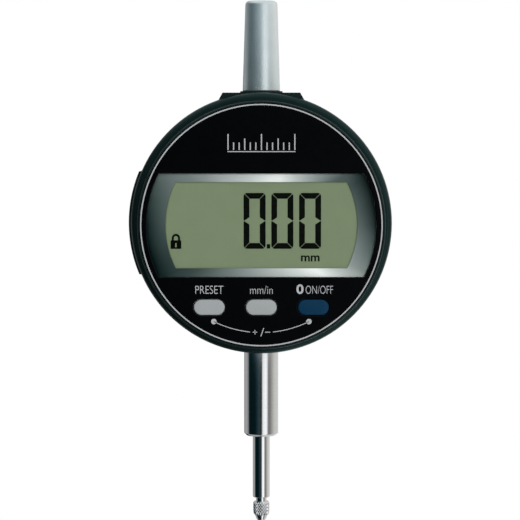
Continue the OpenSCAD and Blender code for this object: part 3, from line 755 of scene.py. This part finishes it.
# %% Readout glass
lcd_low, lcd_high = span("lcd_glass")
lcd_green = finish("lcd_green", (0.127, 0.152, 0.091), 0.5, grain=4.0, relief=0.001, drift=0.04,
                   rough_drift=0.03, specular=0.25)
lcd_w, _, lcd_h = lcd_high - lcd_low
lcd_x, _, lcd_z = (lcd_high + lcd_low) / 2
glass = plate("readout_glass", [fillet(box_outline((lcd_x, lcd_z - dial_z), lcd_w, lcd_h), 0.3)],
              lcd_high[1], lcd_low[1], edge=0.08)
place(glass, "display", ["lcd_glass"], lcd_green)
print(f"readout glass {lcd_w:.1f} by {lcd_h:.1f} mm")

# %% [markdown]
# ## Figures
#
# A seven-segment font would need a font file. A nought is six bars from one formula: the top bar
# is part of a rounded frame cut along its diagonals, a side bar runs from a diagonal down to a
# pointed end at half height, and the rest are mirror images. Pulling each outline in a little opens
# the thin gaps between the bars.

# %% Seven-segment bars
figure_w, figure_h, bar = 5.08, 12.73, 1.42
figure_pitch, figure_x, figure_z = 6.26, -1.54, 0.98
corner_r = 0.85
ink_y = (lcd_low[1] + 0.02, lcd_low[1] - 0.03)


def figure_bars(centre):
    """Outlines of the six bars of a nought about a centre. Its corner is a quarter circle from 180 to 90
    degrees, whose first half belongs to the side bar and whose second half to the top bar."""
    w, h = figure_w / 2, figure_h / 2
    turn = np.radians(np.linspace(180, 90, 11))
    corner = np.stack([np.cos(turn), np.sin(turn)], 1) * corner_r + [corner_r - w, h - corner_r]
    top = np.vstack([corner[5:], corner[:4:-1] * [-1, 1], [[w - bar, h - bar], [-w + bar, h - bar]]])
    side = np.vstack([corner[:6], [[bar - w, h - bar], [bar - w, bar * 0.55], [0.25 - w, 0.0], [-w, 0.12]]])
    bars = [top, top * [1, -1], side, side * [-1, 1], side * [1, -1], side * [-1, -1]]
    return [b + np.array(centre) for b in bars]


ink = finish("crystal_ink", (0.0008, 0.0014, 0.0006), 0.4, relief=0.0, drift=0.2, specular=0.03)
bars = [b for k in range(3) for b in figure_bars((figure_x + k * figure_pitch, figure_z))]
point_at = (figure_x + figure_pitch / 2, figure_z - figure_h / 2 + 0.62)
point = fillet(box_outline(point_at, 0.9, 1.1), 0.15)
figures = plate("readout_figures", bars + [point], *ink_y, shrink=0.055)
place(figures, "display", [], ink)
print(len(bars), "bars")

# %% [markdown]
# ## Padlock sign
#
# This sign says that the keys are locked: a body with a keyhole and a bow over it.

# %% Padlock
lock_at = np.array([-19.3, -4.35])
lock_body = fillet(box_outline(lock_at + [0, -0.025], 2.4, 1.95), 0.2)
keyhole = box_outline(lock_at + [0, -0.175], 0.32, 0.95)
turn = np.linspace(0, math.pi, 25)
arch = np.stack([np.cos(turn), np.sin(turn)], 1)
bow_out, bow_in, bow_foot, bow_z = 0.95, 0.46, 0.9, 1.45
bow = np.vstack([[(bow_out, bow_foot)], arch * bow_out + [0, bow_z], [(-bow_out, bow_foot)],
                 [(-bow_in, bow_foot)], arch[::-1] * bow_in + [0, bow_z], [(bow_in, bow_foot)]]) + lock_at
lock = plate("padlock_sign", [lock_body, keyhole, bow], *ink_y)
place(lock, "display", [], ink)
print("padlock", len(lock.data.polygons), "faces")

# %% [markdown]
# ## Lettering
#
# The words are plain function names, so Blender's built-in letters will do. The printed ones are
# narrow, so each word is squeezed to its width once it is a mesh.

# %% Words
def word(name, text, centre, width, height, back_y, front_y, heavy=0.0):
    """Text squeezed to a width and height in millimetres about a centre, heavy thickens its strokes."""
    curve = bpy.data.curves.new(name, "FONT")
    curve.body, curve.size, curve.offset = text, 10.0, heavy
    curve.align_x = "CENTER"
    curve.extrude = abs(back_y - front_y) / 2
    made = stand_up(name, bpy.data.objects.new(name, curve), back_y, front_y)
    points = np.array([v.co for v in made.data.vertices])
    low, high = points.min(0), points.max(0)
    target = np.array([width, abs(back_y - front_y), height]) * MM
    points = (points - (low + high) / 2) * target / (high - low)
    points += np.array([centre[0], (back_y + front_y) / 2, dial_z + centre[1]]) * MM
    made.data.vertices.foreach_set("co", points.ravel())
    made.data.update()
    return made


print_y = (face_y + 0.02, face_y - 0.025)
white_ink = finish("white_ink", (0.24, 0.245, 0.25), 0.5, grain=5.0, relief=0.002, drift=0.1, specular=0.3)
words = [("preset_word", "PRESET", (-11.75, -14.5), 6.3, 1.85, -0.1),
         ("unit_word", "mm/in", (0.0, -14.55), 5.1, 1.85, -0.13),
         ("zero_word", "0", (8.7, -14.35), 1.6, 2.2, 0.25),
         ("power_word", "ON/OFF", (13.05, -14.5), 6.15, 1.82, -0.13)]
for name, text, centre, width, height, heavy in words:
    place(word(name, text, centre, width, height, *print_y, heavy), "display", [], white_ink)
unit = word("readout_unit", "mm", (11.04, -7.5), 4.2, 1.35, *ink_y, heavy=0.22)
place(unit, "display", [], ink)
print(len(words) + 1, "words")

# %% [markdown]
# ## Printed ring, bracket and scale marks
#
# A thin silver ring runs round the panel, and a bracket with two dots ties the outer keys together
# as plus and minus. A band is an outer arc joined to an inner arc. A plain row of graduations stands
# above the window.

# %% Printed marks
ring_r, ring_w, line_w = 27.17, 0.29, 0.17
bracket_r, dot_r, dot_reach, gap_reach = 24.2, 0.62, 26.3, 6.2
sign_z, plus_x, plus_w, minus_x, minus_w = -24.1, -1.47, 1.0, 1.4, 1.2
marks = {"printed_ring": [circle_outline(ring_r + s * ring_w / 2) for s in (1, -1)]}
sides = {"left": -1, "right": 1}
for side, s in sides.items():
    marks["bracket_" + side] = [band_outline(bracket_r, line_w, -90 + s * gap_reach, -90 + s * dot_reach)]
for side, s in sides.items():
    reach = math.radians(s * dot_reach)
    dot_at = (bracket_r * math.sin(reach), -bracket_r * math.cos(reach))
    marks["dot_" + side] = [circle_outline(dot_r, dot_at, steps=32)]
marks["plus_across"] = [box_outline((plus_x, sign_z), plus_w, line_w)]
marks["plus_upright"] = [box_outline((plus_x, sign_z), line_w, plus_w)]
marks["minus_sign"] = [box_outline((minus_x, sign_z), minus_w, line_w)]
marks["slash_sign"] = [np.array([(-0.35, -0.95), (-0.15, -0.95), (0.5, 0.95), (0.3, 0.95)]) + [0.12, sign_z]]
for name, outlines in marks.items():
    place(plate(name, outlines, *print_y), "display", [], white_ink)
print(f"ring {2 * ring_r:.1f} mm across, bracket {2 * bracket_r:.1f} mm across")

# %% Graduation marks
mark_z, mark_w, mark_pitch, mark_count = 16.6, 0.26, 1.25, 13
base_h, mark_lift = 0.2, 0.35
scale_marks = []
for k in range(mark_count):
    tall = 3.6 if k % 6 == 0 else (2.6 if k % 3 == 0 else 1.7)
    across = (k - (mark_count - 1) / 2) * mark_pitch
    scale_marks.append(box_outline((across, mark_z + tall / 2 + mark_lift), mark_w, tall))
scale_marks.append(box_outline((0, mark_z), mark_pitch * (mark_count - 1) + mark_w, base_h))
place(plate("graduation_marks", scale_marks, *print_y), "display", [], white_ink)
print(mark_count, "graduation marks on a base line")

# %% [markdown]
# ## Keys
#
# The keys are soft-edged caps that stand a little out of the panel. A bevelled block would show
# straight sides. The cap is a stadium outline that shrinks as it rises: each ring of points is the
# outline pulled towards the key's middle line, and the height follows a quarter circle at the edge
# and a slight dome over the top.


# %% Key caps
edge_r, rise, dome_h = 0.32, 0.09, 0.09
flange_w = (key_flange + key_gap) / 2
flange_back, flange_front = panel_back_y + 1.0, panel_back_y + 0.12


def key_cap(name, centre, front_y):
    """Rings of a stadium: the flange as a wider ring behind the panel, straight sides, a quarter-round
    edge, and a top that rises by dome height times (1 - distance squared) and closes on the middle line."""
    width, height = key_w - key_gap, key_h - key_gap
    turn = np.linspace(0, math.pi / 2, 7)
    flat = height / 2 - edge_r
    share = np.linspace(1, 0, 8)[1:]
    inset = [height / 2, -flange_w, -flange_w, 0.0,
             *(edge_r * (1 - np.cos(turn))), *(height / 2 - flat * share)]
    level = [flange_back, flange_back, flange_front, flange_front,
             *(front_y + rise + edge_r * (1 - np.sin(turn))), *(front_y + rise - dome_h * (1 - share ** 2))]
    rings = [np.insert(stadium_outline(width - 2 * pull, height - 2 * pull, centre, 25), 1, y, axis=1)
             + [0, 0, dial_z] for pull, y in zip(inset, level)]
    return make_piece(name, rings, grid_faces(len(rings), len(rings[0]), wrap_rows=False), sharp=50)


grey_key = finish("grey_key", (0.194, 0.205, 0.209), 0.42, grain=4.5, drift=0.05, specular=0.15)
blue_key = finish("blue_key", (0.0003, 0.0165, 0.040), 0.4, grain=4.5, drift=0.1, specular=0.12)
for name in key_nodes:
    tint, slot_name = (blue_key, "blue_key") if name == "zero_key" else (grey_key, "grey_key")
    place(key_cap(name + "_cap", key_centres[name], key_boxes[name][0][1]), name, [name], tint)
print(len(key_nodes), "key caps")

# %% [markdown]
# ## Housing, cover and drawer
#
# Only the edges of these three are too sharp: a moulded edge has a small radius that catches light.
# The CAD mesh isn't touched. A copy is welded, its flat faces are joined into one polygon each, and
# a Bevel modifier rounds every edge that turns by more than 40 degrees.


# %% Softened copies
def softened(node_name, name, width):
    """A welded copy of a CAD node with every steep edge rounded to a width in millimetres."""
    work = bmesh.new()
    work.from_mesh(frame["nodes"][node_name].data)
    bmesh.ops.remove_doubles(work, verts=work.verts, dist=1e-6)
    bmesh.ops.dissolve_limit(work, angle_limit=math.radians(0.4), verts=work.verts, edges=work.edges)
    mesh = bpy.data.meshes.new(name)
    work.to_mesh(mesh)
    work.free()
    mesh.shade_smooth()
    mesh.set_sharp_from_angle(angle=math.radians(35))
    made = bpy.data.objects.new(name, mesh)
    bpy.context.scene.collection.objects.link(made)
    bevel = made.modifiers.new("soft_edges", "BEVEL")
    bevel.width, bevel.segments, bevel.limit_method = width * MM, 2, "ANGLE"
    bevel.angle_limit = math.radians(40)
    level_out = made.modifiers.new("flat_stays_flat", "WEIGHTED_NORMAL")
    level_out.keep_sharp, level_out.weight = True, 100
    return made


for source, name, body, radius in (("housing", "moulded_housing", "housing", 0.15),
                                   ("back_cover", "moulded_cover", "housing", 0.12),
                                   ("battery_drawer", "moulded_drawer", "battery_drawer", 0.15)):
    place(softened(source, name, radius), body, [source], case_plastic)
    print(name, "rounded by", radius, "mm")

# %% [markdown]
# ## Screws of the cover
#
# The crosses of the cover's screws are part of the CAD mesh, but a bare recess in bright metal
# hardly shows. So shade is painted into it: the finish reads how far a point lies below the heads'
# faces and turns dark there, as painted shade, so the mesh can stay as it is.


# %% Painted shade in the recesses
def recess_painted_shade(tree):
    """Steel on the faces of the heads, painted shade in black from a tenth of a millimetre below them."""
    depth = node(tree, "ShaderNodeSeparateXYZ", {0: in_millimetres(tree)}).outputs["Y"]
    below = math_node(tree, "SUBTRACT", screw_face_y, depth)
    return ramp(tree, below, [(0.06, (0.42, 0.43, 0.44)), (0.14, (0.012, 0.012, 0.013))])


screw_face_y = float(span("back_cover_screws")[1][1])
# The heads' finish paints shade into the crosses below their faces.
head_steel = finish("head_steel", (1, 1, 1), 0.32, metallic=1.0, grain=5.0, colour_link=recess_painted_shade)
print(f"screw heads end at y {screw_face_y:.2f} mm")

# %% [markdown]
# ## Return spring
#
# The spring sits between the carrier and the upper bush. On the tool it shortens as the spindle rises;
# here it is one fixed mesh on the housing. The wire is a circle carried along a helix. The last turn at
# each end lies flat, as on a ground spring.

# %% Spring
spring_low, spring_high = span("return_spring")
wire_r = 0.2
coil_r = spring_high[0] - wire_r
turns = 9.0
along = np.linspace(0, 1, 480)[:, None]
flat_end = 1.0 / turns
climb = np.clip((along - flat_end) / (1 - 2 * flat_end), 0, 1)
bottom, top = spring_low[2] + wire_r, spring_high[2] - wire_r
level = bottom + (top - bottom) * climb
around = 2 * math.pi * turns * along
ring_angle = np.linspace(0, 2 * math.pi, 9)[:-1][None, :]
out = coil_r + wire_r * np.cos(ring_angle)
coil = np.stack([out * np.cos(around), out * np.sin(around), level + wire_r * np.sin(ring_angle)], -1)
coil = np.concatenate([coil[:1].mean(1, keepdims=True).repeat(8, 1), coil,
                       coil[-1:].mean(1, keepdims=True).repeat(8, 1)])
spring = make_piece("wound_spring", coil, grid_faces(len(coil), 8, wrap_rows=False), sharp=60)
place(spring, "housing", ["return_spring"], spring_wire)
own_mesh(spring)

# %% [markdown]
# ## Circuit boards
#
# The boards hide inside. Solder mask is green gloss over copper tracks,
# and a brick pattern gives tracks at right angles.


# %% Boards
def board_colour(tree):
    """Copper tracks as the mortar lines of a brick pattern in a green mask."""
    where = node(tree, "ShaderNodeMapping", {"Vector": in_millimetres(tree),
                                             "Rotation": (math.pi / 2, 0, 0)}).outputs[0]
    tracks = node(tree, "ShaderNodeTexBrick", {"Vector": where, "Scale": 0.4, "Mortar Size": 0.03,
                                               "Color1": (0.012, 0.10, 0.03, 1),
                                               "Color2": (0.010, 0.085, 0.028, 1),
                                               "Mortar": (0.05, 0.20, 0.05, 1)})
    return tracks.outputs["Color"]


green_board = finish("green_board", (1, 1, 1), 0.3, relief=0.003, colour_link=board_colour)
print(len(bpy.data.materials), "finishes so far")

# %% [markdown]
# ## The rest of the CAD nodes
#
# What is left keeps its CAD shape. Each node takes the finish of its slot in the record, which is
# the one of the same name unless the list says otherwise.

# %% Finishes for the CAD nodes
slot_finish = {material.name: material for material in bpy.data.materials}
slot_finish.update({"black_case": case_plastic, "black_gloss": gloss_black, "white_plastic": pale_plastic,
                    "plain_steel": plated_steel, "spring_steel": spring_wire, "contact_metal": gold_plate,
                    "circuit_board": green_board, "chip": chip_epoxy, "ribbon": amber_film,
                    "scale_glass": scale_print, "cell_steel": nickel, "ball_steel": mirror_steel,
                    "cap_metal": blasted, "clear_window": clear, "silver_mask": spun_silver,
                    "lcd": lcd_green})
for part in frame["record"]["subparts"]:
    cad = frame["nodes"][part["node"]]
    cad.data.materials.clear()
    cad.data.materials.append(slot_finish[part["material_slot"]])
frame["nodes"]["back_cover_screws"].data.materials[0] = head_steel
